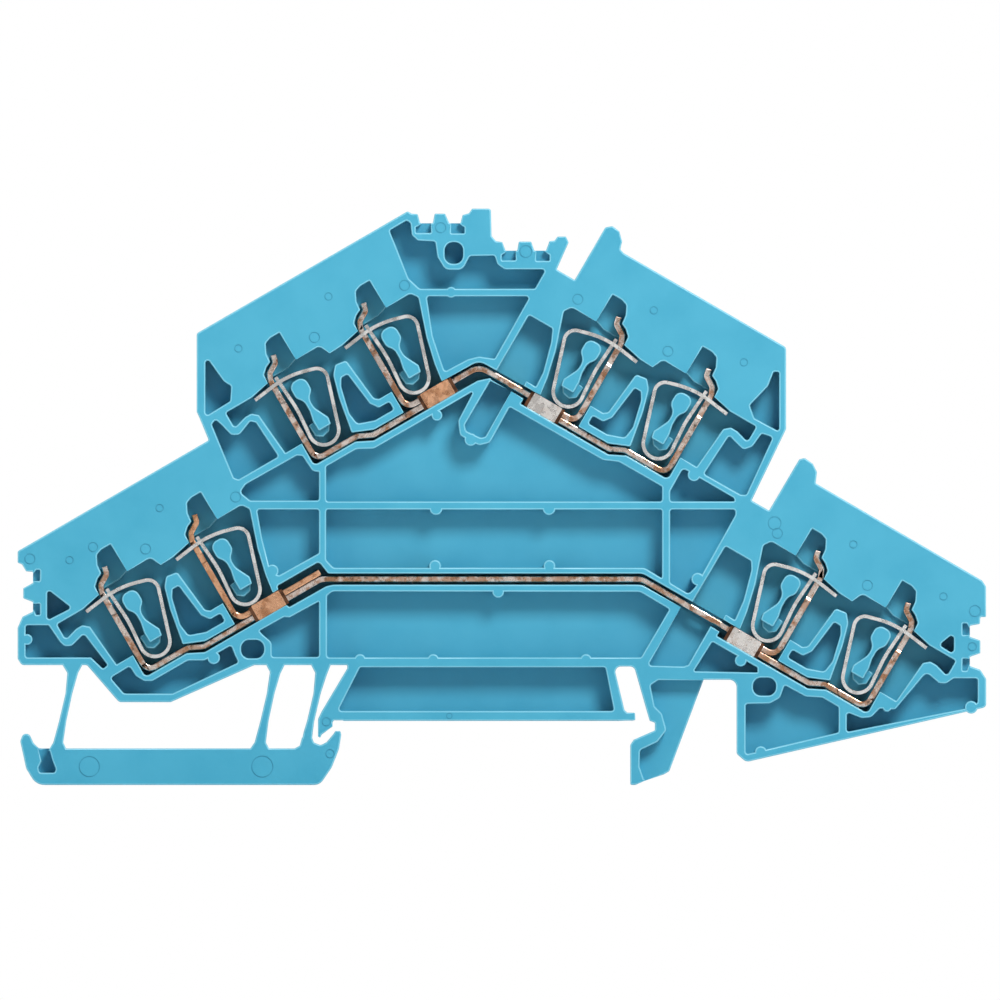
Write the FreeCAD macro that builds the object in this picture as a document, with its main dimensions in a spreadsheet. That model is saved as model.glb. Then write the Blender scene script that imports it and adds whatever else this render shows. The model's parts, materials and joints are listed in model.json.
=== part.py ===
import FreeCAD, Part
import math
import os

# A double-level spring-clamp terminal block for 35 mm DIN rail, in millimetres.
# X runs across the rail, Z stands off it, and Y is the stacking direction along it.
# The origin is the middle of the rail seat, half way through the block's thickness.
# The open side, through which the clamps are fitted, faces -Y.

doc = FreeCAD.newDocument("TerminalBlock")
sheet = doc.addObject("Spreadsheet::Sheet", "Dims")

DRIVING = [
    # housing
    ("block_depth", 5.1, "thickness of one block along the rail"),
    ("clamp_floor", 0.8, "back wall behind the clamps"),
    ("web_floor", 1.1, "back wall behind the ribbed pockets"),
    ("notch_floor", 1.6, "back wall behind the post tips"),
    ("island_drop", 0.5, "spring islands below the open side"),
    ("stub_drop", 2.2, "spring stubs below the open side"),
    ("foot_web_drop", 2.5, "recess of the fixed foot's web"),
    ("marker_drop", 1.2, "depth of the marker seats"),
    ("mark_drop", 0.08, "depth of the ejector rings"),
    ("peg_socket_deep", 3.4, "depth of the alignment sockets"),
    ("peg_length", 1.5, "alignment pegs standing out of the back"),
    ("peg_slack", 0.1, "peg smaller than its socket, all round"),
    ("cap_height", 19.85, "clamp channel floor to the slanted top"),
    # clamps
    ("clamp_tilt", 30.0, "slant of each row of clamps, degrees"),
    ("clamp_pitch", 11.37, "outer clamp to inner clamp"),
    ("clamp_middle", -0.35, "middle of the clamps in Y"),
    ("entry_tall", 3.0, "conductor entry in Y"),
    ("entry_wide", 2.25, "conductor entry across the post"),
    ("spring_wide", 3.7, "spring stock width"),
    ("spring_stock", 0.38, "spring stock thickness"),
    ("window_tall", 2.6, "window in the spring, in Y"),
    ("neck_wide", 2.0, "post and spring necks, in Y"),
    # current bars
    ("bar_wide", 3.0, "bar width in Y"),
    ("bar_stock", 0.65, "bar thickness"),
    ("upper_layer", 1.275, "middle of the upper bar above the floor"),
    ("lower_layer", 0.575, "middle of the lower bar above the floor"),
    ("outer_foot", 1.32, "middle of the outer post's foot above the floor"),
    ("sleeve_wide", 3.6, "joint sleeve in Y"),
    ("sleeve_wall", 0.25, "joint sleeve wall in Y"),
    ("jumper_tall", 1.2, "jumper slot in Y"),
    # inner clamp origins, in each row's own slanted axes
    ("upper_left_u", 8.45, "along the slope"),
    ("upper_left_v", 33.1, "square to the slope"),
    ("upper_right_u", 8.18, "along the slope"),
    ("upper_right_v", 31.5, "square to the slope"),
    ("lower_left_u", -19.1, "along the slope"),
    ("lower_left_v", 22.3, "square to the slope"),
    ("lower_right_u", -23.5, "along the slope"),
    ("lower_right_v", 20.25, "square to the slope"),
    # heights above the rail seat
    ("lower_bar_z", 15.5, "the straight lower bar"),
    ("foot_top", -3.0, "top of the release foot"),
    ("foot_bottom", -7.0, "lowest face of both feet"),
    ("hull_bottom", 6.1, "underside that the foot's legs hang from"),
]

for row, (alias, value, note) in enumerate(DRIVING, start=1):
    sheet.set("A" + str(row), alias)
    sheet.set("B" + str(row), str(value))
    sheet.set("C" + str(row), note)
    sheet.setAlias("B" + str(row), alias)
doc.recompute()


def dim(alias):
    return float(sheet.get(alias))


PITCH = dim("clamp_pitch")
CAP = dim("cap_height")
FOOT_TOP = dim("foot_top")
FOOT_BOTTOM = dim("foot_bottom")
HULL = dim("hull_bottom")
TILT = math.radians(dim("clamp_tilt"))
FRONT = "-Dims.block_depth / 2"
MIDDLE = "Dims.clamp_middle"

# Each row of clamps: its name, and +1 where it runs towards +X or -1 where it is mirrored.
ROWS = [("upper_left", 1), ("upper_right", -1), ("lower_left", 1), ("lower_right", -1)]
SIDE = dict(ROWS)
CLAMPS = [("outer", -PITCH), ("inner", 0.0)]


# ---------------------------------------------------------------- outlines

def slanted(side, u, v):
    """A point given in slanted axes, u up the slope and v square to it."""
    x = u * math.cos(TILT) - v * math.sin(TILT)
    z = u * math.sin(TILT) + v * math.cos(TILT)
    return side * x, z


def in_row(row, points):
    """Points given from a row's inner clamp: p up the slope, q square to it."""
    placed = []
    for p, q, *radius in points:
        x, z = slanted(SIDE[row], p + dim(row + "_u"), q + dim(row + "_v"))
        placed.append((x, z, *radius))
    return placed


def shifted(points, along):
    return [(p + along, q, *radius) for p, q, *radius in points]


def mirrored(side, points):
    return [(side * p, q, *radius) for p, q, *radius in points]


def round_corner(before, here, after, radius):
    """The start, middle, end and centre of the arc that rounds one corner."""
    back = (before - here).normalize()
    ahead = (after - here).normalize()
    half = back.getAngle(ahead) / 2
    room = 0.49 * min((before - here).Length, (after - here).Length)
    reach = min(radius / math.tan(half), room)
    inward = (back + ahead).normalize()
    centre = here + inward * (reach / math.cos(half))
    middle = centre - inward * (reach * math.tan(half))
    return here + back * reach, middle, here + ahead * reach, centre


def route(points, radius, closed):
    """Lines and arcs through the points; a point's third number is its own corner radius."""
    spots = [FreeCAD.Vector(point[0], point[1], 0) for point in points]
    count = len(spots)
    stops = []
    for i, here in enumerate(spots):
        bend = points[i][2] if len(points[i]) > 2 else radius
        if bend == 0 or (not closed and i in (0, count - 1)):
            stops.append((here,))
        else:
            stops.append(round_corner(spots[i - 1], here, spots[(i + 1) % count], bend))
    edges = []
    for i, stop in enumerate(stops):
        if len(stop) == 4:
            edges.append(("arc", *stop))
        if i < count - 1 or closed:
            leave = stop[2] if len(stop) == 4 else stop[0]
            arrive = stops[(i + 1) % count][0]
            if (arrive - leave).Length > 1e-6:
                edges.append(("line", leave, arrive))
    return edges


def loop(points, radius=0.25):
    return route(points, radius, closed=True)


def circle(x, z, radius):
    return [("circle", FreeCAD.Vector(x, z, 0), radius)]


def oval(x, z, wide, tall):
    """A rounded rectangle about a point."""
    corners = [(-1, -1), (1, -1), (1, 1), (-1, 1)]
    return loop([(x + i * wide / 2, z + j * tall / 2) for i, j in corners], 0.45 * min(wide, tall))


def bent(start, heading, moves):
    """Centreline of bent stock: a run is a length, a bend is a radius and degrees to the left."""
    edges = []
    here = FreeCAD.Vector(start[0], start[1], 0)
    angle = math.radians(heading)
    for move in moves:
        forward = FreeCAD.Vector(math.cos(angle), math.sin(angle), 0)
        if len(move) == 1:
            arrive = here + forward * move[0]
            edges.append(("line", here, arrive))
        else:
            radius, turn = move[0], math.radians(move[1])
            left = FreeCAD.Vector(-forward.y, forward.x, 0) * math.copysign(1, turn)
            centre = here + left * radius
            arms = []
            for part in (0.5, 1.0):
                swing = FreeCAD.Rotation(FreeCAD.Vector(0, 0, 1), math.degrees(turn * part))
                arms.append(centre + swing.multVec(here - centre))
            edges.append(("arc", here, arms[0], arms[1], centre))
            arrive = arms[1]
            angle += turn
        here = arrive
    return edges


def beside(edge, offset):
    """One edge moved to its left by an offset."""
    if edge[0] == "line":
        along = (edge[2] - edge[1]).normalize()
        left = FreeCAD.Vector(-along.y, along.x, 0) * offset
        return "line", edge[1] + left, edge[2] + left
    start, middle, end, centre = edge[1:]
    turn = (middle - start).cross(end - middle).z
    grow = -offset if turn > 0 else offset
    moved = [spot + (spot - centre).normalize() * grow for spot in (start, middle, end)]
    return "arc", moved[0], moved[1], moved[2], centre


def backwards(edge):
    if edge[0] == "line":
        return "line", edge[2], edge[1]
    return "arc", edge[3], edge[2], edge[1], edge[4]


def first(edge):
    return edge[1]


def last(edge):
    return edge[2] if edge[0] == "line" else edge[3]


def band(edges, stock):
    """Closed outline of stock that follows a centreline."""
    there = [beside(edge, stock / 2) for edge in edges]
    back = [backwards(beside(edge, -stock / 2)) for edge in reversed(edges)]
    ends = [("line", last(there[-1]), first(back[0])), ("line", last(back[-1]), first(there[0]))]
    return there + ends[:1] + back + ends[1:]


def bar(points, radius=1.0):
    return band(route(points, radius, closed=False), dim("bar_stock"))


# ---------------------------------------------------------------- bodies

def new_body(label):
    body = doc.addObject("PartDesign::Body", label)
    body.Label = label
    body.Placement = FreeCAD.Placement()
    return body


def draw(body, name, loops, plane_y):
    """A sketch of closed loops on the plane at plane_y, seen from -Y."""
    sketch = body.newObject("Sketcher::SketchObject", name + "Sketch")
    plane = [each for each in body.Origin.OriginFeatures if each.Role == "XZ_Plane"][0]
    sketch.AttachmentSupport = [(plane, "")]
    sketch.MapMode = "FlatFace"
    sketch.setExpression("AttachmentOffset.Base.z", "-(" + plane_y + ")")
    shapes = []
    for edges in loops:
        for edge in edges:
            if edge[0] == "line":
                shapes.append(Part.LineSegment(edge[1], edge[2]))
            elif edge[0] == "circle":
                shapes.append(Part.Circle(edge[1], FreeCAD.Vector(0, 0, 1), edge[2]))
            else:
                shapes.append(Part.ArcOfCircle(edge[1], edge[2], edge[3]))
    sketch.addGeometry(shapes, False)
    return sketch


def pad(body, name, loops, back_y, depth):
    """Material from back_y towards -Y."""
    sketch = draw(body, name, loops, back_y)
    feature = body.newObject("PartDesign::Pad", name)
    feature.Profile = sketch
    feature.setExpression("Length", depth)
    return feature


def pocket(body, name, loops, front_y, depth):
    """A cut from front_y towards +Y."""
    sketch = draw(body, name, loops, front_y)
    feature = body.newObject("PartDesign::Pocket", name)
    feature.Profile = sketch
    feature.setExpression("Length", depth)
    return feature


def around_middle(width):
    """The -Y side of something of that width, centred on the clamps."""
    return MIDDLE + " - " + width + " / 2"


def beyond_middle(width):
    return MIDDLE + " + " + width + " / 2"


# ---------------------------------------------------------------- housing outline

HOUSING = [
    # left side and the long slanted top of the upper left row
    (-32.46, 33.8), (-32.46, 42.37, 0.4), (-9.4, 55.72, 0.3),
    # marker rail at the top, in two steps
    (-8.95, 55.45), (-8.3, 55.4), (-8.03, 54.4), (-6.65, 54.4), (-6.45, 55.45),
    (-5.3, 55.45), (-4.85, 54.4), (-3.62, 54.4), (-3.4, 55.3), (-2.7, 55.5),
    (-2.35, 56.0), (-0.3, 56.0, 0.3), (-0.22, 53.0), (0.25, 52.45), (0.95, 52.35),
    (1.3, 51.4), (2.58, 51.4), (2.75, 52.4), (4.1, 52.4), (4.45, 51.4), (5.72, 51.4),
    (6.1, 52.45), (6.65, 52.5), (7.0, 52.95), (7.9, 52.95), (8.2, 52.3),
    # jumper slot and its lip
    (6.9, 49.35, 0.1), (8.86, 48.2, 0.1), (12.2, 53.95, 0.3), (13.0, 54.1, 0.4),
    (13.75, 53.5), (14.05, 52.4), (13.85, 51.55), (14.2, 51.15),
    # upper right row
    (31.97, 40.84, 0.5), (31.97, 31.9, 0.5), (28.2, 24.1, 0.1), (30.1, 23.0, 0.1),
    (33.4, 28.6, 0.3), (34.0, 28.75, 0.3), (34.9, 28.1), (35.35, 27.2, 0.3), (35.2, 25.98),
    # lower right row and the marker teeth on its end
    (53.4, 15.35, 0.4), (53.82, 14.7, 0.3), (53.82, 11.35), (53.2, 11.35), (53.15, 10.6),
    (52.05, 10.4), (52.05, 9.2), (53.2, 8.8), (53.2, 7.4), (52.05, 7.0), (52.05, 6.0),
    (53.2, 5.6, 0.4), (53.84, 4.6, 0.3), (53.84, 1.5, 0.5), (27.6, -4.5, 0.8),
    (26.55, -3.6, 0.5), (26.55, 4.5, 0.8), (22.95, 4.5, 0.1),
    # fixed foot
    (19.2, -5.5, 0.4), (18.6, -5.85, 0.3), (16.5, -6.55), (15.5, FOOT_BOTTOM, 0.2),
    (14.93, FOOT_BOTTOM, 0.2),
    (14.93, -2.6, 0.4), (15.3, -2.05, 0.3), (17.35, -1.15, 0.1), (17.62, -1.02), (17.62, -0.2),
    (17.05, 0.02), (16.85, 0.7), (15.35, 5.95, 0.6), (13.15, 5.95, 0.6), (14.3, 1.2, 0.2),
    (14.6, 0.92), (15.45, 0.9, 0.1), (15.5, 0.1), (15.2, 0.03), (14.5, 0.03), (13.6, 0.0),
    # rail seat, relieved at its left end over the release foot's hook, and the stop there
    (-16.4, 0.0, 0), (-16.5, 0.06, 0), (-17.45, 0.06, 0.1), (-17.6, -0.15, 0.05), (-17.6, -0.6, 0.05), (-18.8, -1.5, 0.2),
    (-18.95, -1.85, 0.1), (-19.2, -1.7, 0.1), (-19.2, 0.2, 0.5), (-18.8, 1.05, 0.5),
    (-16.0, 5.75, 0.2), (-16.0, HULL, 0.1),
    # hull over the release foot
    (-26.15, HULL, 0.3), (-35.3, 2.05, 0.3), (-40.95, 2.05, 0.6), (-44.45, HULL, 0.3),
    # marker teeth on the left end
    (-51.6, HULL, 0.5), (-52.03, 6.8, 0.3), (-52.03, 10.2), (-51.5, 11.4, 0.4), (-50.35, 11.95),
    (-50.35, 13.0), (-51.42, 13.4), (-51.42, 14.5), (-50.35, 15.1), (-50.35, 16.3),
    (-51.1, 16.35), (-51.55, 17.1), (-52.03, 17.3), (-52.03, 18.55, 0.3),
    (-31.15, 30.68, 0.2), (-32.1, 33.0, 0.3),
]

# ---------------------------------------------------------------- ribbed pockets

RIBBED = [
    # beside and below the upper left row
    [(-30.8, 32.4), (-30.4, 32.95), (-29.7, 32.3), (-28.7, 31.25, 0.6), (-27.8, 31.25, 0.6),
     (-26.6, 32.75), (-26.0, 32.6), (-23.55, 28.9), (-27.9, 26.4), (-28.4, 26.6)],
    [(-27.7, 25.0, 0.4), (-26.6, 24.1, 0.5), (-19.1, 24.1), (-19.1, 27.2, 0.1), (-19.8, 27.3, 0.5),
     (-20.9, 28.95), (-21.5, 29.0), (-27.1, 25.85, 0.5)],
    [(-31.5, 33.3), (-31.5, 39.9), (-29.5, 37.1, 0.8), (-28.7, 36.6, 0.3), (-28.8, 34.95)],
    # between the upper rows
    [(-11.37, 53.6), (-9.5, 54.7), (-9.1, 54.4), (-8.95, 53.1, 0.4), (-8.3, 52.5, 0.4),
     (-6.4, 52.4), (-6.15, 50.7, 0.6), (-5.3, 49.3, 0.9), (-3.4, 49.3, 0.9), (-2.6, 50.8, 0.3),
     (0.1, 50.85), (0.4, 49.9, 0.5), (1.2, 49.35, 0.4), (5.7, 49.35), (4.5, 47.25),
     (-8.1, 47.25, 0.5), (-9.3, 48.4, 0.8), (-10.4, 51.2, 1.0)],
    [(-7.3, 46.4), (3.95, 46.4), (0.1, 39.6, 0.2), (-1.6, 39.85, 0.8), (-2.8, 39.55, 0.5),
     (-5.35, 38.2), (-5.8, 39.5, 1.0), (-6.65, 42.1, 1.0)],
    # hollow that the jumper reaches into, under the upper bar
    [(-0.35, 37.15, 0.05), (-3.15, 32.35, 0.4), (-3.0, 31.7, 0.4), (-1.4, 30.95, 0.4),
     (-0.9, 31.1, 0.3), (1.95, 36.05, 0.05)],
    # under the upper rows
    [(-18.3, 24.0), (-18.3, 27.8, 0.2), (-15.0, 29.7, 0.8), (-13.1, 29.75, 0.8), (-2.2, 36.05, 0.1),
     (-3.9, 32.8, 0.6), (-3.7, 31.2, 0.6), (-1.6, 30.1, 0.6), (-0.4, 30.4, 0.6), (1.75, 34.3, 0.2),
     (11.95, 28.5, 0.8), (13.7, 28.3, 0.8), (18.4, 25.6, 0.2), (18.4, 24.0)],
    # right of the upper right row
    [(23.0, 27.0), (25.75, 31.2), (26.3, 30.6, 0.4), (27.3, 29.6, 0.6), (28.3, 30.0, 0.6),
     (29.3, 31.4), (30.5, 31.0, 0.3), (27.6, 24.7, 0.3), (27.0, 24.75, 0.2)],
    [(30.6, 38.15, 0.2), (31.2, 38.15, 0.2), (31.2, 31.65, 0.2), (28.5, 33.1, 0.3),
     (28.0, 34.5, 0.3), (30.0, 36.6, 0.8)],
    [(19.3, 24.0), (26.4, 24.0, 0.2), (26.2, 24.4, 0.1), (20.7, 27.6, 0.4), (19.3, 25.1, 0.4)],
    [(19.3, 23.1), (26.4, 23.1), (26.4, 22.5), (22.0, 14.6), (21.3, 13.9, 0.4), (19.3, 15.1, 0.3)],
    # along the lower bar
    [(-18.3, 23.1), (18.4, 23.1), (18.4, 15.6, 0.1), (16.5, 16.75, 1.0), (-17.5, 16.75, 0.6),
     (-18.3, 17.6, 0.4)],
    [(-25.85, 23.1), (-19.1, 23.1), (-19.1, 18.35), (-23.5, 15.9), (-24.4, 16.4), (-25.3, 20.0, 1.0)],
    [(-25.6, 9.85, 0.1), (-22.9, 11.35, 0.2), (-22.3, 11.3, 0.2), (-19.1, 13.05, 0.1),
     (-19.1, 7.0), (-24.25, 7.0), (-24.25, 8.6, 0.8), (-25.3, 9.5, 0.3)],
    [(-18.2, 6.95), (16.1, 6.95), (19.2, 12.2, 0.2), (16.0, 14.1, 1.0), (-17.6, 14.15, 0.8),
     (-18.2, 13.7)],
    [(-17.0, 1.1), (-14.6, 5.85), (12.2, 5.85), (13.15, 1.1)],
    # around the lower left row
    [(-51.15, 10.45), (-48.65, 10.45), (-47.4, 8.6, 0.6), (-46.9, 8.15, 0.6), (-46.1, 8.2, 0.6),
     (-44.8, 9.5, 0.3), (-42.2, 6.1, 0.2), (-42.7, 5.7, 0.2), (-44.0, 6.95), (-51.15, 6.95)],
    [(-48.8, 14.4), (-46.15, 12.35), (-48.8, 11.0)],
    [(-41.85, 4.7), (-39.8, 5.95), (-39.1, 4.9, 0.5), (-38.2, 4.35, 0.5), (-37.3, 4.35, 0.5),
     (-33.4, 6.6, 0.8), (-31.6, 6.6, 0.5), (-28.7, 8.25), (-28.3, 7.2), (-27.9, 6.4),
     (-35.1, 3.0, 0.5), (-40.4, 3.0, 0.5)],
    # around the lower right row
    [(21.9, 5.45, 0.1), (28.85, 5.3, 0.1), (28.8, 5.85, 0.1), (23.9, 8.65, 0.2)],
    [(27.55, 1.85), (30.2, 1.9, 0.8), (31.3, 2.5, 0.8), (31.8, 3.9, 0.2), (34.1, 2.65, 0.8),
     (35.9, 2.55, 0.5), (37.7, 1.5), (37.7, -1.25), (27.55, -3.65)],
    [(38.6, 0.95), (40.2, 0.3, 0.8), (41.3, 0.4, 0.8), (42.2, 1.35), (43.9, 1.25, 0.4),
     (47.3, 5.3, 0.5), (48.7, 4.1, 0.6), (49.5, 4.1, 0.6), (50.3, 4.65), (52.9, 4.65),
     (52.9, 2.0), (51.5, 1.35), (38.6, -1.2)],
    [(50.3, 9.6, 0.3), (50.3, 7.3, 0.3), (48.7, 8.3, 0.3)],
]

# Where a jumper's pins go: a pocket beside the clamp, a shaft down to it from the slanted top,
# and on the lower right a hollow under the bar as well.
JUMPER_POCKETS = {
    "upper_right": [(7.7, 8.85), (10.65, 8.85), (10.65, 1.2, 0), (7.3, 1.2, 0), (7.3, 2.45, 0.1),
                    (6.1, 2.45, 0.1), (6.2, 4.2, 1.0), (7.1, 7.5, 1.0)],
    "lower_right": [(7.9, 8.95), (11.1, 8.95), (11.15, 1.2, 0), (7.35, 1.2, 0), (7.35, 2.5, 0.1),
                    (6.2, 2.5, 0.1), (6.45, 4.8, 1.0), (7.35, 8.1, 1.0)],
}
JUMPER_SHAFTS = {
    "upper_right": [(8.7, 8.6, 0), (10.3, 8.6, 0), (10.3, 15.0, 0), (8.7, 15.0, 0)],
    "lower_right": [(8.9, 8.7, 0), (10.5, 8.7, 0), (10.5, 15.1, 0), (8.9, 15.1, 0)],
}
JUMPER_HOLLOW = [(8.15, 1.0, 0), (12.0, 1.0, 0), (11.9, -6.55), (8.5, -4.7, 0.4), (8.15, -4.3, 0.3)]

# ---------------------------------------------------------------- clamp pockets

CAP_SIDE = [(-2.3, 10.7, 0), (-0.05, 11.2, 0.1), (0.25, 11.5, 0.1), (2.8, 11.5, 0.3),
            (3.95, 11.9, 0.1)]
ROW_POCKET = (
    [(-16.95, 10.7)]
    + shifted(CAP_SIDE, -PITCH)
    + [(-4.5, 11.9, 0.6), (-3.9, 10.65, 0.1)]
    + CAP_SIDE
    + [(7.0, 11.9, 0.6), (7.55, 11.1, 0.4), (6.15, 6.9, 3.0), (5.45, 3.9, 2.0), (5.2, 1.9, 0.1),
       (5.5, 1.9, 0), (5.5, 0.0, 0), (-4.47, 0.0, 0.5), (-6.27, 0.9, 0.5), (-11.45, 0.9, 0.5),
       (-11.45, 3.65, 0.1), (-13.5, 3.65, 0.1), (-13.95, 8.7, 0.3), (-14.6, 9.25, 0.4),
       (-15.4, 9.25, 0.5), (-16.95, 8.8, 0.3)]
)
DIVIDER = [(-4.0, 9.3, 0.4), (-2.7, 9.1, 0.4), (-2.15, 4.0, 0.5), (-1.7, 3.65, 0.3),
           (-0.1, 3.65, 0.1), (-0.1, 1.0, 0.1), (-3.85, 1.0, 0.6), (-6.15, 1.95, 0.2),
           (-5.45, 5.9, 3.0), (-4.75, 8.4, 1.0)]
DIVIDER_HOLLOW = [(-4.1, 7.7), (-3.35, 7.7), (-2.85, 3.7, 0.5), (-2.2, 2.8, 0.4), (-0.9, 2.8),
                  (-0.9, 1.85), (-3.25, 1.85, 0.5), (-5.1, 2.5, 0.5), (-5.3, 3.9, 1.0),
                  (-4.6, 6.9, 1.0)]
NOTCH = [(0.0, 11.3, 0), (0.1, 12.2, 0.3), (0.75, 12.8, 0.2), (1.4, 13.1, 0.2), (1.5, 14.1, 0.4),
         (2.0, 15.1, 0.4), (2.7, 15.35, 0.4), (3.85, 15.35, 0.1), (3.97, 11.3, 0)]
ISLAND = [(1.82, 9.95, 1.0), (3.82, 9.95, 1.0), (3.82, 8.2, 0.9), (3.05, 7.5, 1.2),
          (3.05, 6.4, 1.5), (3.9, 4.7, 0.3), (3.75, 3.9, 0.2), (2.2, 3.9, 0.2), (2.2, 5.2, 0.4),
          (2.43, 6.3, 1.5), (2.43, 7.5, 1.2), (1.82, 8.2, 0.9)]
STUB = [(1.5, 5.0, 0.2), (3.6, 5.0, 0.2), (3.6, 3.9), (3.2, 3.3), (2.3, 3.1), (1.6, 3.6)]
ENTRY_NEAR = -0.05
ENTRY_FAR = ENTRY_NEAR - dim("entry_wide")
ENTRY = [(ENTRY_FAR, 10.0, 0), (ENTRY_FAR, CAP - 2.2, 0), (ENTRY_FAR - 0.6, CAP + 0.2, 0),
         (ENTRY_NEAR + 0.55, CAP + 0.2, 0), (ENTRY_NEAR, CAP - 2.2, 0), (ENTRY_NEAR, 10.9, 0)]
DRIVER_SLOT = [(2.0, 14.5, 0), (2.0, CAP - 1.5, 0), (1.4, CAP + 0.2, 0), (4.4, CAP + 0.2, 0),
               (3.85, CAP - 1.5, 0), (3.85, 14.5, 0)]

# ---------------------------------------------------------------- bar channels

UPPER_CHANNEL = (
    in_row("upper_left", [(5.1, 1.9, 0)])
    + [(-1.6, 39.35, 1.4)]
    + in_row("upper_right", [(5.1, 1.9, 0), (5.1, 0.0, 0), (6.6, 0.0, 0.1), (6.6, 0.65, 0.1),
                             (10.62, 0.65, 0.1)])
    + in_row("upper_left", [(9.95, -0.45, 0.2), (8.6, 0.0, 0.4), (5.1, 0.0, 0)])
)
LOWER_CHANNEL = (
    in_row("lower_left", [(5.1, 1.9, 0), (5.9, 1.9, 0.1), (6.0, 2.3), (11.25, 2.3, 0.4)])
    + [(-18.1, 16.1, 0.4), (16.3, 16.1, 1.6)]
    + in_row("lower_right", [(5.1, 1.9, 0), (5.1, 0.0, 0), (7.0, 0.0, 0.1), (7.0, 0.55, 0.1),
                             (12.0, 0.75, 0)])
    + [(16.2, 14.9, 1.6), (-17.55, 14.9, 0.8)]
    + in_row("lower_left", [(10.6, -0.4, 0.6), (6.0, -0.35, 0.1), (5.8, 0.0, 0.1), (5.1, 0.0, 0)])
)

FOOT_WEB = [(17.15, 3.9, 0.3), (18.0, 4.45, 0.3), (23.6, 4.45, 0), (19.6, -6.0, 0), (17.0, -7.0, 0),
            (16.4, -6.3), (15.95, -5.0), (16.0, -3.2, 0.4), (17.9, -2.3, 0.6), (18.9, -1.0, 0.5),
            (18.4, 0.8, 0.5), (17.6, 1.6, 0.4)]
# Recesses behind the marker notches, open to them.
MARKER_SEATS = [
    [(-8.5, 53.35), (-6.85, 53.35), (-6.85, 54.9, 0), (-7.8, 54.9, 0), (-7.85, 54.35), (-8.5, 53.95)],
    [(-4.65, 53.3), (-3.2, 53.3), (-3.2, 53.95), (-3.75, 54.35), (-3.8, 54.9, 0), (-4.65, 54.9, 0)],
    [(0.9, 50.35), (2.4, 50.35), (2.4, 51.9, 0), (1.5, 51.9, 0), (1.45, 51.35), (0.9, 50.9)],
    [(4.65, 50.3), (6.1, 50.3), (6.1, 50.9), (5.55, 51.35), (5.5, 51.9, 0), (4.65, 51.9, 0)],
    [(-50.9, 15.3, 0), (-49.6, 15.3), (-49.6, 16.5), (-50.0, 16.5), (-50.3, 16.1),
     (-50.9, 16.1, 0)],
    [(-50.9, 12.2, 0), (-50.3, 12.2), (-50.0, 11.6), (-49.6, 11.6), (-49.6, 12.8),
     (-50.9, 12.8, 0)],
    [(52.6, 9.4, 0), (52.6, 10.15, 0), (52.0, 10.15), (51.7, 10.65), (51.25, 10.65),
     (51.25, 9.4)],
    [(52.6, 6.2, 0), (52.6, 6.8, 0), (51.25, 6.8), (51.25, 5.5), (51.7, 5.5), (52.0, 6.2)],
]
# Alignment sockets: x, z, width and height of each.
SOCKETS = [(-4.35, 51.15, 2.0, 2.35), (-26.35, 7.85, 2.5, 2.0), (29.6, 3.75, 2.5, 1.95)]
# Round thickenings of the ribs that the ejector pins push on: x, z and radius.
BOSSES = [
    (-14.6, 6.7, 0.62), (-6.6, 6.7, 0.62), (10.1, 6.7, 0.62), (0.5, 14.1, 0.65),
    (-6.4, 16.95, 0.65), (6.1, 16.95, 0.65), (-6.3, 23.2, 0.7), (6.05, 23.2, 0.7),
    (-24.2, 16.4, 0.7), (22.3, 15.5, 0.7), (21.9, 26.9, 0.7), (-2.5, 30.75, 0.7),
    (-4.65, 46.85, 0.6), (-51.0, 8.9, 0.6), (-30.6, 6.9, 0.7), (29.2, -3.4, 0.65),
    (27.0, 6.6, 0.65), (52.2, 1.5, 0.7), (-6.2, 33.4, 0.6), (43.0, 1.5, 0.5),
]
RINGS = [
    (-4.85, 0.55, 0.35), (30.7, 21.6, 0.75), (-50.7, 17.7, 0.6), (-43.8, 19.0, 0.55),
    (52.6, 12.0, 0.65), (52.3, 8.1, 0.5), (-5.8, 53.9, 0.6), (3.5, 51.3, 0.7), (-18.3, -0.1, 0.5),
]
ROW_RINGS = [(-0.9, 16.1, 0.45), (6.9, 13.0, 0.6)]


# ---------------------------------------------------------------- housing

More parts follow.
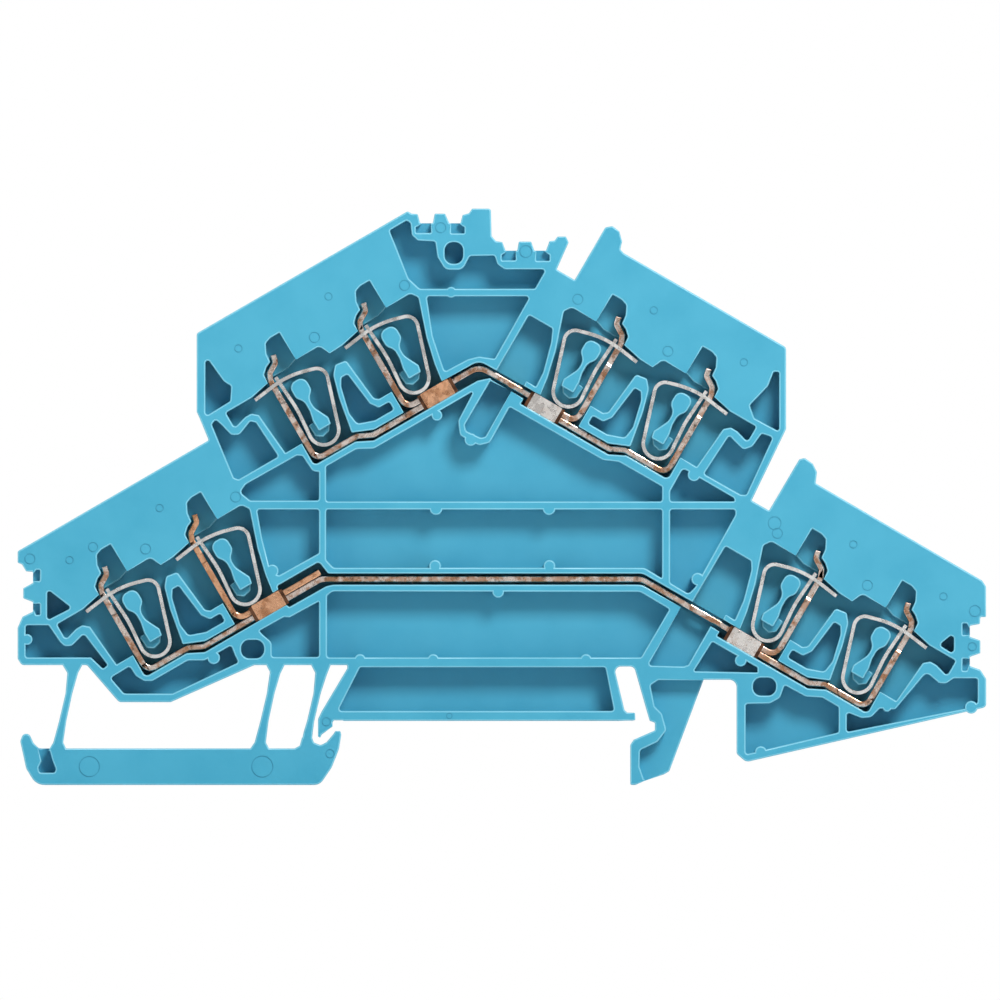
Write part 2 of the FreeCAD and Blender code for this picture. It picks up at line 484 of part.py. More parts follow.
def build_housing():
    body = new_body("housing")
    pad(body, "Shell", [loop(HOUSING, 0.15)], "Dims.block_depth / 2", "Dims.block_depth")
    pegs = []
    sockets = []
    slack = 2 * dim("peg_slack")
    for x, z, wide, tall in SOCKETS:
        sockets.append(oval(x, z, wide, tall))
        pegs.append(oval(x, z, wide - slack, tall - slack))
    back_of_pegs = "Dims.block_depth / 2 + Dims.peg_length"
    pad(body, "Pegs", pegs, back_of_pegs, "Dims.peg_length + Dims.web_floor / 2")
    pocket(body, "Sockets", sockets, FRONT, "Dims.peg_socket_deep")

    # passages for conductors, screwdriver and jumper, drawn before the pockets they open into
    every_clamp = [(row, along) for row, side in ROWS for clamp, along in CLAMPS]
    entry_front = around_middle("Dims.entry_tall")
    entries = [loop(in_row(row, shifted(ENTRY, along))) for row, along in every_clamp]
    pocket(body, "Entries", entries, entry_front, "Dims.entry_tall")
    slots = [loop(in_row(row, shifted(DRIVER_SLOT, along))) for row, along in every_clamp]
    pocket(body, "DriverSlots", slots, entry_front, "Dims.entry_tall * 0.8")
    shafts = [loop(in_row(row, points)) for row, points in JUMPER_SHAFTS.items()]
    pocket(body, "JumperShafts", shafts, around_middle("Dims.neck_wide"), "Dims.neck_wide")

    pocket(body, "FootWeb", [loop(FOOT_WEB)], FRONT, "Dims.foot_web_drop")
    seats = [loop(points, 0.1) for points in MARKER_SEATS]
    pocket(body, "MarkerSeats", seats, FRONT, "Dims.marker_drop")
    pocket(body, "Marks", rings(housing_rings()), FRONT, "Dims.mark_drop")

    ribbed = [loop(points) for points in RIBBED]
    ribbed += [loop(in_row(row, DIVIDER_HOLLOW)) for row, side in ROWS]
    pocket(body, "Ribbed", ribbed, FRONT, "Dims.block_depth - Dims.web_floor")
    notches = [loop(in_row(row, shifted(NOTCH, along))) for row, along in every_clamp]
    pocket(body, "Notches", notches, FRONT, "Dims.block_depth - Dims.notch_floor")
    jumpers = [loop(in_row(row, points)) for row, points in JUMPER_POCKETS.items()]
    jumpers.append(loop(in_row("lower_right", JUMPER_HOLLOW)))
    pocket(body, "Jumpers", jumpers, FRONT, "Dims.block_depth - Dims.web_floor")
    clamp_deep = "Dims.block_depth - Dims.clamp_floor"
    rows = [loop(in_row(row, ROW_POCKET)) for row, side in ROWS]
    rows += [loop(in_row(row, DIVIDER)) for row, side in ROWS]
    pocket(body, "Clamps", rows, FRONT, clamp_deep)
    pocket(body, "Channels", [loop(UPPER_CHANNEL), loop(LOWER_CHANNEL)], FRONT, clamp_deep)

    root = "Dims.block_depth / 2 - Dims.clamp_floor / 2"
    bosses = [circle(x, z, radius) for x, z, radius in BOSSES]
    pad(body, "Bosses", bosses, root, "Dims.block_depth - Dims.clamp_floor / 2")
    islands = [loop(in_row(row, shifted(ISLAND, along))) for row, along in every_clamp]
    pad(body, "Islands", islands, root, "Dims.block_depth - Dims.island_drop - Dims.clamp_floor / 2")
    stubs = [loop(in_row(row, shifted(STUB, along))) for row, along in every_clamp]
    pad(body, "Stubs", stubs, root, "Dims.block_depth - Dims.stub_drop - Dims.clamp_floor / 2")


def housing_rings():
    """Where the ejector pins left their rings on the open side of the housing."""
    spots = list(RINGS)
    for row, side in ROWS:
        for clamp, along in CLAMPS:
            spots += in_row(row, shifted(ROW_RINGS, along))
    return spots


def rings(spots):
    """Pairs of circles that draw fine rings, from x, z and radius."""
    return [circle(x, z, edge) for x, z, radius in spots for edge in (radius, radius - 0.1)]


# ---------------------------------------------------------------- release foot

RAIL_FOOT = [
    (-51.75, -2.2, 0.5), (-51.45, -1.4, 0.5), (-50.75, -1.4, 0.5), (-50.3, -2.4, 0.5),
    (-49.7, FOOT_TOP, 0.6), (-21.75, FOOT_TOP, 0.1), (-21.2, -2.7, 0.3), (-20.95, -1.8, 0),
    (-19.85, -1.8, 0), (-19.65, -2.35, 0.3), (-18.9, -2.65, 0.4), (-18.25, -2.3, 0.3),
    (-17.5, -1.4, 0.3), (-17.3, -1.1, 0.1), (-16.75, -1.1, 0.15), (-16.65, -1.5, 0.2),
    (-16.9, -3.1, 3.0), (-17.7, -5.1, 2.0), (-19.0, FOOT_BOTTOM, 1.2), (-50.0, FOOT_BOTTOM, 1.6),
    (-51.1, -5.2, 1.0),
]
PRY_SLOT = [(-49.95, -2.5, 0), (-48.75, -2.5, 0), (-48.2, -4.4, 0.2), (-47.85, -5.3, 0.3),
            (-48.0, -5.65, 0.2), (-49.65, -5.65, 0.3), (-49.75, -5.1, 0.3), (-49.4, -4.4, 0.2)]
FOOT_RINGS = [(-44.2, -5.0, 1.15), (-25.3, -5.0, 1.2), (-17.9, -3.6, 0.5)]
# The legs that the foot hangs on: slanted strips that flare into the hull and into the foot.
LEGS = {
    "foot_leg_left": [(-47.3, HULL, 0), (-46.6, 5.3, 0.4), (-46.8, 3.0, 1.0), (-47.5, 0.0, 2.0),
                      (-48.15, -2.4, 0.4), (-48.7, FOOT_TOP, 0), (-46.6, FOOT_TOP, 0),
                      (-47.05, -2.4, 0.4), (-46.7, 0.0, 2.0), (-46.05, 3.0, 1.0),
                      (-45.4, 5.3, 0.4), (-44.8, HULL, 0)],
    "foot_leg_middle": [(-25.0, HULL, 0), (-24.45, 5.4, 0.4), (-24.8, 3.0, 1.0), (-25.5, 0.0, 2.0),
                        (-26.15, -2.4, 0.4), (-26.8, FOOT_TOP, 0), (-24.4, FOOT_TOP, 0),
                        (-24.9, -2.4, 0.4), (-24.6, 0.0, 2.0), (-23.95, 3.0, 1.0),
                        (-23.3, 5.2, 0.4), (-22.7, HULL, 0)],
    "foot_leg_right": [(-20.1, HULL, 0), (-19.5, 5.3, 0.4), (-19.7, 3.0, 1.0), (-20.4, 0.0, 2.0),
                       (-20.95, -1.8, 0), (-19.85, -1.8, 0), (-19.6, 0.0, 2.0),
                       (-18.9, 3.0, 1.0), (-18.25, 5.0, 0.6), (-17.7, HULL, 0)],
}


def build_foot():
    body = new_body("rail_foot")
    pad(body, "Foot", [loop(RAIL_FOOT)], "Dims.block_depth / 2", "Dims.block_depth")
    pocket(body, "PrySlot", [loop(PRY_SLOT)], FRONT, "Dims.foot_web_drop")
    pocket(body, "FootMarks", rings(FOOT_RINGS), FRONT, "Dims.mark_drop")


def build_legs():
    for label, points in LEGS.items():
        body = new_body(label)
        pad(body, label + "Web", [loop(points)], "Dims.block_depth / 2", "Dims.block_depth")


# ---------------------------------------------------------------- current bars

UPPER = dim("upper_layer")
LOWER = dim("lower_layer")
POST = 0.37
NECK_FROM = 8.5
TIP = [(2.05, 13.6), (1.85, 12.75, 0.5), (0.7, 12.05, 0.5), (POST, 11.2, 0.5)]
SLEEVE_FROM = 2.4
SLEEVE_TO = 5.85
BAR_END = SLEEVE_TO + 0.1


def outer_bar_points(row):
    """Tip, outer post and the stepped foot, down to the lower layer."""
    foot = dim("outer_foot")
    step = [(POST, foot, 1.05), (5.6, foot, 0.8), (7.1, LOWER, 0.8)]
    return in_row(row, shifted(TIP + step, -PITCH))


def inner_bar_points(row):
    return in_row(row, TIP + [(POST, UPPER, 1.05)])


def neck_cuts(row, along):
    """Both faces of a post's neck, as one loop drawn on the row's slope."""
    return loop(in_row(row, shifted([(-1, NECK_FROM, 0), (4, NECK_FROM, 0), (4, 14.5, 0),
                                     (-1, 14.5, 0)], along)))


def build_bar(label, points, necks, slots=()):
    body = new_body(label)
    pad(body, label + "Stock", [bar(points)], beyond_middle("Dims.bar_wide"), "Dims.bar_wide")
    side = "(Dims.bar_wide - Dims.neck_wide) / 2"
    loops = [neck_cuts(row, along) for row, along in necks]
    pocket(body, label + "NeckFront", loops, around_middle("Dims.bar_wide"), side)
    loops = [neck_cuts(row, along) for row, along in necks]
    pocket(body, label + "NeckBack", loops, beyond_middle("Dims.neck_wide"), side)
    for row, start, end in slots:
        corners = [(start, 0, 0), (end, 0, 0), (end, 2.5, 0), (start, 2.5, 0)]
        tall = around_middle("Dims.jumper_tall")
        pocket(body, label + "Jumper", [loop(in_row(row, corners))], tall, "Dims.jumper_tall")


def build_bars():
    for row in ("upper_left", "upper_right", "lower_right"):
        points = outer_bar_points(row) + in_row(row, [(BAR_END, LOWER)])
        build_bar(row + "_outer_bar", points, [(row, -PITCH)])
    peak_z = (dim("upper_left_v") + dim("upper_right_v") + 2 * UPPER) / (2 * math.cos(TILT))
    peak_x = (dim("upper_right_v") - dim("upper_left_v")) / (2 * math.sin(TILT))
    right = inner_bar_points("upper_right")
    points = inner_bar_points("upper_left") + [(peak_x, peak_z, 1.8)] + right[::-1]
    build_bar("upper_bar", points, [("upper_left", 0), ("upper_right", 0)],
              [("upper_right", 8.7, 10.3)])
    level = dim("lower_bar_z")
    left_x = (level * math.cos(TILT) - dim("lower_left_v") - LOWER) / math.sin(TILT)
    right_x = (dim("lower_right_v") + UPPER - level * math.cos(TILT)) / math.sin(TILT)
    right = inner_bar_points("lower_right")
    run = [(left_x, level, 1.8), (right_x, level, 1.8)]
    points = outer_bar_points("lower_left") + run + right[::-1]
    build_bar("lower_bar", points, [("lower_left", -PITCH), ("lower_right", 0)],
              [("lower_right", 8.9, 10.5)])
    points = inner_bar_points("lower_left") + in_row("lower_left", [(10.8, UPPER)])
    build_bar("lower_left_inner_bar", points, [("lower_left", 0)])


def build_sleeves():
    half_slack = 0.05
    bottom = LOWER - dim("bar_stock") / 2 - half_slack
    top = UPPER + dim("bar_stock") / 2 + half_slack
    wall = 0.18
    for row, side in ROWS:
        body = new_body(row + "_sleeve")
        outside = [(SLEEVE_FROM, bottom - wall), (SLEEVE_TO, bottom - wall),
                   (SLEEVE_TO, top + wall), (SLEEVE_FROM, top + wall)]
        inside = [(SLEEVE_FROM - 1, bottom), (SLEEVE_TO + 1, bottom), (SLEEVE_TO + 1, top),
                  (SLEEVE_FROM - 1, top)]
        pad(body, row + "Wrap", [loop(in_row(row, outside), 0.1)],
            beyond_middle("Dims.sleeve_wide"), "Dims.sleeve_wide")
        pocket(body, row + "Way", [loop(in_row(row, inside), 0)],
               around_middle("Dims.sleeve_wide") + " + Dims.sleeve_wall",
               "Dims.sleeve_wide - 2 * Dims.sleeve_wall")


# ---------------------------------------------------------------- clamp springs

# The spring lies around two bends: the U at the foot and the shoulder at the top.
FOOT_BEND = (2.75, 3.75)
FOOT_RADIUS = 1.65
SHOULDER = (4.85, 8.9)
SHOULDER_RADIUS = 1.2
BENDS_APART = math.dist(FOOT_BEND, SHOULDER)
LEVER_HEADING = (
    math.degrees(math.atan2(SHOULDER[1] - FOOT_BEND[1], SHOULDER[0] - FOOT_BEND[0]))
    + math.degrees(math.asin((FOOT_RADIUS - SHOULDER_RADIUS) / BENDS_APART))
)
LEVER_LENGTH = math.sqrt(BENDS_APART ** 2 - (FOOT_RADIUS - SHOULDER_RADIUS) ** 2)
SEAT_HEADING = 85.5
SEAT_NECK = 9.7
LEG_HEADING = 164.3
WINDOW = (-0.04, 3.5)


def square_to_lever(centre, radius):
    """The point of a bend where the lever leaves it."""
    angle = math.radians(LEVER_HEADING - 90)
    return centre[0] + radius * math.cos(angle), centre[1] + radius * math.sin(angle)


def spring_paths():
    """Centrelines of the fixed leg with the U bend, the lever, and the window leg."""
    split = square_to_lever(FOOT_BEND, FOOT_RADIUS)
    top = square_to_lever(SHOULDER, SHOULDER_RADIUS)
    seat = [(FOOT_RADIUS, SEAT_HEADING - LEVER_HEADING - 180), (2.4,), (12.0, 8.5), (3.3,)]
    window = [(SHOULDER_RADIUS, LEG_HEADING - LEVER_HEADING), (1.0,), (10.0, 23.5), (2.3,)]
    return (
        bent(split, LEVER_HEADING + 180, seat),
        bent(split, LEVER_HEADING, [(LEVER_LENGTH,)]),
        bent(top, LEVER_HEADING, window),
    )


def flipped(side, edges):
    """A centreline mirrored for the rows that run towards -X."""
    turned = []
    for edge in edges:
        spots = [FreeCAD.Vector(side * spot.x, spot.y, 0) for spot in edge[1:]]
        turned.append((edge[0], *spots))
    return turned


def box_loop(side, left, right, low, high):
    return loop(mirrored(side, [(left, low), (right, low), (right, high), (left, high)]), 0)


def build_spring(row, side, clamp, along):
    """Three nodes of one bent spring, drawn upright and then set on the row's slope."""
    x, z = slanted(side, dim(row + "_u") + along, dim(row + "_v"))
    spin = FreeCAD.Rotation(FreeCAD.Vector(0, 1, 0), -side * dim("clamp_tilt"))
    place = FreeCAD.Placement(FreeCAD.Vector(x, 0, z), spin)
    name = row + "_" + clamp + "_spring"
    stock = dim("spring_stock")
    for part, path in zip(("_seat", "_lever", "_window"), spring_paths()):
        body = new_body(name + part)
        tag = name + part
        pad(body, tag + "Stock", [band(flipped(side, path), stock)],
            beyond_middle("Dims.spring_wide"), "Dims.spring_wide")
        if part == "_seat":
            tongue = [box_loop(side, 0.3, 2.2, SEAT_NECK, 12.0)]
            depth = "(Dims.spring_wide - Dims.neck_wide) / 2"
            pocket(body, tag + "Front", tongue, around_middle("Dims.spring_wide"), depth)
            tongue = [box_loop(side, 0.3, 2.2, SEAT_NECK, 12.0)]
            pocket(body, tag + "Back", tongue, beyond_middle("Dims.neck_wide"), depth)
        if part == "_window":
            hole = [box_loop(side, WINDOW[0], WINDOW[1], 9.0, 12.0)]
            pocket(body, tag + "Hole", hole, around_middle("Dims.window_tall"),
                   "Dims.window_tall")
        body.Placement = place


def build_springs():
    for row, side in ROWS:
        for clamp, along in CLAMPS:
            build_spring(row, side, clamp, along)


# ---------------------------------------------------------------- build, check and write

build_housing()
build_foot()
build_legs()
build_bars()
build_sleeves()
build_springs()
doc.recompute()

bodies = [each for each in doc.Objects if each.TypeId == "PartDesign::Body"]
for each in doc.Objects:
    if "Invalid" in each.State or "Error" in each.State:
        raise SystemExit(each.Label + " failed: " + str(each.State))
for body in bodies:
    volume = 0.0
    for feature in body.Group:
        if not feature.isDerivedFrom("PartDesign::Feature"):
            continue
        added = feature.Shape.Volume - volume
        if (feature.TypeId == "PartDesign::Pad") != (added > 0) or abs(added) < 1e-4:
            raise SystemExit(feature.Label + " changed nothing: " + str(added))
        volume = feature.Shape.Volume
    if body.Shape.isNull() or not body.Shape.isValid() or len(body.Shape.Solids) != 1:
        raise SystemExit(body.Label + " is not one valid solid")

os.makedirs("parts", exist_ok=True)
for body in bodies:
    body.Shape.exportStep("parts/" + body.Label + ".step")
    box = body.Shape.BoundBox
    print(body.Label, round(body.Shape.Volume, 3), [round(v, 2) for v in (
        box.XMin, box.XMax, box.YMin, box.YMax, box.ZMin, box.ZMax)])
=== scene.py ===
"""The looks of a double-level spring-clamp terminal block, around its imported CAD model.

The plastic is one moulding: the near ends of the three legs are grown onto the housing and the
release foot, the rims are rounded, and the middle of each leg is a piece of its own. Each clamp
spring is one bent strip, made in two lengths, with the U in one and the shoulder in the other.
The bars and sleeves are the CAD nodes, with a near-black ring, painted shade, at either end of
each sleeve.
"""
import json
import math

import bmesh
import bpy
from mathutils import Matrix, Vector, geometry, kdtree


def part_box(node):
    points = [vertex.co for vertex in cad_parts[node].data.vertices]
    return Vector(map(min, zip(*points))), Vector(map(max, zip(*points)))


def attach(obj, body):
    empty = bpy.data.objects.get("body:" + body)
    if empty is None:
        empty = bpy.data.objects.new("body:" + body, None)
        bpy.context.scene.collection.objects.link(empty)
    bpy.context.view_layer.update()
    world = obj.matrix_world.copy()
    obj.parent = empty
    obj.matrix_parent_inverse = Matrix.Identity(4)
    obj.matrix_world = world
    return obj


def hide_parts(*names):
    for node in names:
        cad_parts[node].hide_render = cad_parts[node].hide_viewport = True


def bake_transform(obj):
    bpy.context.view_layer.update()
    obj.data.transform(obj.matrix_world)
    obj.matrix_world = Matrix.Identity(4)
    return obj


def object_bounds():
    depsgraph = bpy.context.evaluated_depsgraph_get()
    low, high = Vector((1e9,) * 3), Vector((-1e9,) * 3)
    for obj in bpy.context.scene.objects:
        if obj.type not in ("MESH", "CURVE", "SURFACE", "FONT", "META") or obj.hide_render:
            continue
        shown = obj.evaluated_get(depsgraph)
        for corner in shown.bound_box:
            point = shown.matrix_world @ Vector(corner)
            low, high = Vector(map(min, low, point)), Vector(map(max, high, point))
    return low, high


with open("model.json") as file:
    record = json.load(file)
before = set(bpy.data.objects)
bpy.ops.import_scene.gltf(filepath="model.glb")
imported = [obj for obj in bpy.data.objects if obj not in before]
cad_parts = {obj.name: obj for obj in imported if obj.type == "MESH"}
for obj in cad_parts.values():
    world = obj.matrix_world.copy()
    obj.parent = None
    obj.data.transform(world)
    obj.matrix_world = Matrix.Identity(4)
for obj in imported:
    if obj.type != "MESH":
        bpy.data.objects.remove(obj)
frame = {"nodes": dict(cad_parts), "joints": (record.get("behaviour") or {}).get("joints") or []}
cad_low, cad_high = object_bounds()

MM = 0.001
NODES = frame["nodes"]
JOINTS = {joint["name"]: joint for joint in frame["joints"]}
TINY = 0.001 * MM
ALONG_Y = 0.99  # a face's normal has at least this much Y if the face is flat on to the camera
HARD_CORNER = math.radians(50)

ROWS = ["upper_left", "upper_right", "lower_left", "lower_right"]
CLAMPS = [row + "_" + clamp for row in ROWS for clamp in ("outer", "inner")]
BARS = ["upper_left_outer_bar", "upper_right_outer_bar", "lower_right_outer_bar", "upper_bar",
        "lower_bar", "lower_left_inner_bar"]
LEGS = ["foot_leg_left", "foot_leg_middle", "foot_leg_right"]


# ---------------------------------------------------------------- meshes

def link(name, mesh):
    piece = bpy.data.objects.new(name, mesh)
    bpy.context.scene.collection.objects.link(piece)
    return piece


def to_mesh(bm, name):
    mesh = bpy.data.meshes.new(name)
    bm.to_mesh(mesh)
    bm.free()
    return mesh


def welded(mesh):
    """A CAD mesh with its split corners joined again."""
    bm = bmesh.new()
    bm.from_mesh(mesh)
    bmesh.ops.remove_doubles(bm, verts=bm.verts, dist=TINY)
    return bm


def joined_flats(bm):
    """Joins the triangles of each flat face."""
    bmesh.ops.dissolve_limit(bm, angle_limit=math.radians(0.3), verts=bm.verts, edges=bm.edges)
    return bm


def cut(bm, height, drop=0):
    """Cuts at a height; drop +1 or -1 then removes what is above or below and leaves it open."""
    everything = [*bm.verts, *bm.edges, *bm.faces]
    bmesh.ops.bisect_plane(bm, geom=everything, dist=TINY, plane_co=(0, 0, height),
                           plane_no=(0, 0, drop or 1), clear_outer=drop != 0)


def closed(bm):
    """Closes the open ends that cuts have left."""
    rim = [edge for edge in bm.edges if edge.is_boundary]
    bmesh.ops.edgeloop_fill(bm, edges=rim)
    return bm


def outward(bm):
    bmesh.ops.recalc_face_normals(bm, faces=bm.faces)
    return bm


def weigh_normals(piece):
    normals = piece.modifiers.new("Normals", "WEIGHTED_NORMAL")
    normals.keep_sharp = True


def shade(piece):
    """Smooth shading that keeps flat faces flat and hard corners hard."""
    piece.data.shade_smooth()
    piece.data.set_sharp_from_angle(angle=HARD_CORNER)
    weigh_normals(piece)


# ---------------------------------------------------------------- materials

def node(tree, kind, inputs=None, **settings):
    made = tree.nodes.new(kind)
    for name, value in settings.items():
        setattr(made, name, value)
    for name, value in (inputs or {}).items():
        if isinstance(value, bpy.types.NodeSocket):
            tree.links.new(value, made.inputs[name])
        else:
            made.inputs[name].default_value = value
    return made


def noise(tree, where, scale, detail=3.0, rough=0.5, stretch=(1, 1, 1)):
    """Noise whose grain is about 1 / scale metres, stretched along an axis."""
    mapped = node(tree, "ShaderNodeMapping", {"Vector": where, "Scale": stretch})
    made = node(tree, "ShaderNodeTexNoise", {"Vector": mapped.outputs["Vector"], "Scale": scale,
                                             "Detail": detail, "Roughness": rough})
    return made.outputs["Fac"]


def ramp(tree, value, low, high, to_low=0.0, to_high=1.0):
    made = node(tree, "ShaderNodeMapRange", {"Value": value, "From Min": low, "From Max": high,
                                             "To Min": to_low, "To Max": to_high})
    return made.outputs["Result"]


def blend_colour(tree, factor, one, other):
    made = node(tree, "ShaderNodeMix", {"Factor": factor}, data_type="RGBA")
    for socket, value in zip((made.inputs[6], made.inputs[7]), (one, other)):
        if isinstance(value, bpy.types.NodeSocket):
            tree.links.new(value, socket)
        else:
            socket.default_value = (*value, 1.0)
    return made.outputs[2]


def start_material(name):
    material = bpy.data.materials.new(name)
    material.use_nodes = True
    tree = material.node_tree
    shader = tree.nodes["Principled BSDF"]
    where = node(tree, "ShaderNodeTexCoord").outputs["Object"]
    return material, tree, shader, where


def bump(tree, height, strength, distance, shader):
    made = node(tree, "ShaderNodeBump", {"Height": height, "Strength": strength,
                                         "Distance": distance})
    tree.links.new(made.outputs["Normal"], shader.inputs["Normal"])


def plastic(name, colour, pale, roughness):
    """Moulded polyamide: a faint cloudiness, fine spark-eroded grain and uneven gloss."""
    material, tree, shader, where = start_material(name)
    clouds = ramp(tree, noise(tree, where, 220.0, 4.0), 0.35, 0.65)
    grain = noise(tree, where, 5200.0, 2.0)
    speck = ramp(tree, noise(tree, where, 1900.0, 2.0), 0.55, 0.75, 0.0, 0.35)
    tone = blend_colour(tree, clouds, colour, pale)
    tone = blend_colour(tree, speck, tone, pale)
    tree.links.new(tone, shader.inputs["Base Color"])
    gloss = ramp(tree, clouds, 0.0, 1.0, roughness - 0.04, roughness + 0.05)
    tree.links.new(gloss, shader.inputs["Roughness"])
    shader.inputs["Specular IOR Level"].default_value = 0.5
    bump(tree, grain, 0.12, 0.01 * MM, shader)
    return material


SCRATCH_TONE = 0.55
TARNISH = (0.05, 0.035, 0.025)


def metal(name, main, other, share, roughness, spot):
    """Metal of two tones in patches, with fine scratches and dark spots of tarnish.

    The more share is over 0.5, the more of it has the main tone. spot is how dark the spots are.
    """
    material, tree, shader, where = start_material(name)
    patch = ramp(tree, noise(tree, where, 900.0, 4.0, 0.6), share - 0.06, share + 0.06)
    streak = ramp(tree, noise(tree, where, 2600.0, 3.0, 0.6, (0.35, 1, 0.35)), 0.45, 0.62)
    tone = blend_colour(tree, patch, main, other)
    worn = [SCRATCH_TONE * channel for channel in main]
    tone = blend_colour(tree, ramp(tree, streak, 0.0, 1.0, 0.0, 0.45), tone, worn)
    stain = ramp(tree, noise(tree, where, 1500.0, 3.0), 0.60, 0.72, 0.0, spot)
    tone = blend_colour(tree, stain, tone, TARNISH)
    tree.links.new(tone, shader.inputs["Base Color"])
    shader.inputs["Metallic"].default_value = 1.0
    gloss = ramp(tree, streak, 0.0, 1.0, roughness - 0.08, roughness + 0.12)
    tree.links.new(gloss, shader.inputs["Roughness"])
    bump(tree, streak, 0.25, 0.01 * MM, shader)
    return material


PLASTIC = plastic("polyamide_blue",
                  (0.038, 0.338, 0.500), (0.046, 0.362, 0.525),
                  0.45)
# A lighter copy of the plastic for the rounded rims: a painted highlight along every rim.
PLASTIC_PAINTED_HIGHLIGHT = plastic("polyamide_blue_painted_highlight",
                       (0.170, 0.530, 0.680), (0.190, 0.560, 0.710),
                       0.34)
# A darker copy of the plastic for the floors of the ring grooves: painted shade.
PLASTIC_PAINTED_SHADE = plastic("polyamide_blue_painted_shade",
                       (0.028, 0.275, 0.410), (0.034, 0.295, 0.430),
                       0.50)
SPRING_STEEL = metal("spring_steel",
                     (0.86, 0.86, 0.84), (0.66, 0.64, 0.61),
                     0.58, 0.28, 0.25)
TINNED_COPPER = metal("tinned_copper",
                      (0.80, 0.69, 0.62), (0.50, 0.26, 0.15),
                      0.50, 0.28, 0.80)
BARE_COPPER = metal("bare_copper",
                    (0.84, 0.46, 0.27), (0.56, 0.26, 0.13),
                    0.54, 0.30, 0.5)
BRIGHT_TIN = metal("bright_tin",
                   (0.88, 0.84, 0.80), (0.74, 0.64, 0.57),
                   0.58, 0.26, 0.3)
# Near-black copper for the rings at the sleeve ends: painted shade.
PAINTED_SHADE_COPPER = metal("copper_painted_shade",
                    (0.17, 0.080, 0.045), (0.070, 0.035, 0.022),
                    0.50, 0.40, 0.6)


def paint(piece, slot, *materials):
    """Gives a piece its materials, where its faces already say which of them they have."""
    faces = piece.data.polygons
    chosen = [min(face.material_index, len(materials) - 1) for face in faces]
    piece.data.materials.clear()  # sets every face back to the first material
    for material in materials:
        piece.data.materials.append(material)
    faces.foreach_set("material_index", chosen)


# ---------------------------------------------------------------- rounded rims

UPRIGHT = 0.2  # a wall's normal has less Y than this
GROOVE = 0.1 * MM  # walls less deep than this keep their sharp rims
TIGHTEST = 0.4  # 1 plus the cosine of the turn at a corner; tighter corners stay sharp
RIM_SAMPLE = 0.08 * MM
REACH = 2.3  # how many widths away another rim can be in the way
ROOM_SHARE = 0.8  # how much of the room up to another rim a rounding may take
SHORTEST = 0.1  # how short a rim edge may get at the inner side of its rounding
SHRINK = 0.7
SHRINK_PASSES = 40


class Rim:
    """A corner of a flat face's rim: how far it is rounded, and which way is inward."""

    def __init__(self, out, inward, width):
        self.out = out
        self.inward = inward
        self.width = width
        self.chain = None


def is_flat(face):
    return abs(face.normal.y) > ALONG_Y


def find_rims(bm):
    """Rim edges, where a face that looks along Y meets a wall, with the way into the face."""
    inward, blocked = {}, set()
    for edge in bm.edges:
        flats = [face for face in edge.link_faces if is_flat(face)]
        walls = [face for face in edge.link_faces if abs(face.normal.y) < UPRIGHT]
        if len(flats) != 1 or edge.is_boundary:
            continue
        depths = [corner.co.y for wall in walls for corner in wall.verts]
        if edge.is_convex and len(walls) == 1 and max(depths) - min(depths) > GROOVE:
            normal = walls[0].normal
            inward[edge] = -Vector((normal.x, 0, normal.z)).normalized()
        else:
            blocked.update(edge.verts)
    return inward, blocked


def rim_corners(inward, blocked, width):
    """The corners that can be rounded, each where two rim edges meet or one ends at a seam."""
    corners = {}
    for edge in inward:
        for corner in edge.verts:
            edges = [each for each in corner.link_edges if each in inward]
            ends = 1 if corner.is_boundary else 2
            if corner in blocked or corner in corners or len(edges) != ends:
                continue
            one, other = inward[edges[0]], inward[edges[-1]]
            lean = 1 + one.dot(other)
            if lean > TIGHTEST:
                out = 1 if any(face.normal.y > ALONG_Y for face in corner.link_faces) else -1
                corners[corner] = Rim(Vector((0, out, 0)), (one + other) / lean, width)
    return corners


def limit_widths(inward, corners, width):
    """Narrows the rounding where a face is thin or a corner is tight, so that no face folds."""
    samples = []
    for edge in inward:
        start, end = (corner.co for corner in edge.verts)
        count = max(1, round((end - start).length / RIM_SAMPLE))
        samples += [(start.lerp(end, (i + 0.5) / count), edge) for i in range(count)]
    tree = kdtree.KDTree(len(samples))
    for i, (place, edge) in enumerate(samples):
        tree.insert(place, i)
    tree.balance()
    for corner, rim in corners.items():
        ahead = rim.inward.normalized()
        for place, i, distance in tree.find_range(corner.co, REACH * width):
            depth = (place - corner.co).dot(ahead)
            if corner not in samples[i][1].verts and depth > TINY:
                rim.width = min(rim.width, ROOM_SHARE * distance ** 2 / (2 * depth))
    for _ in range(SHRINK_PASSES):
        folded = False
        for edge in inward:
            ends = [(corner.co, corners.get(corner)) for corner in edge.verts]
            run = ends[1][0] - ends[0][0]
            inner = [place + rim.inward * rim.width if rim else place for place, rim in ends]
            if (inner[1] - inner[0]).dot(run) < SHORTEST * run.length_squared:
                folded = True
                for place, rim in ends:
                    if rim:
                        rim.width *= SHRINK
        if not folded:
            break


def groups(items, neighbours):
    """Splits items into sets that hang together."""
    left = set(items)
    while left:
        found = [left.pop()]
        for item in found:
            near = set(neighbours(item)) & left
            left -= near
            found += near
        yield found


def is_inside(x, z, outline):
    """Whether an upward count of the outline's lines beside a point comes out odd."""
    crossed = 0
    for one, other in outline:
        if (one.y > z) != (other.y > z):
            crossed += x < one.x + (z - one.y) / (other.y - one.y) * (other.x - one.x)
    return crossed % 2 == 1


def new_face(bm, around, facing):
    """A face between corners, turned to look the way that facing points."""
    face = bm.faces.new(around)
    face.normal_update()
    if face.normal.dot(facing) < 0:
        face.normal_flip()
    return face


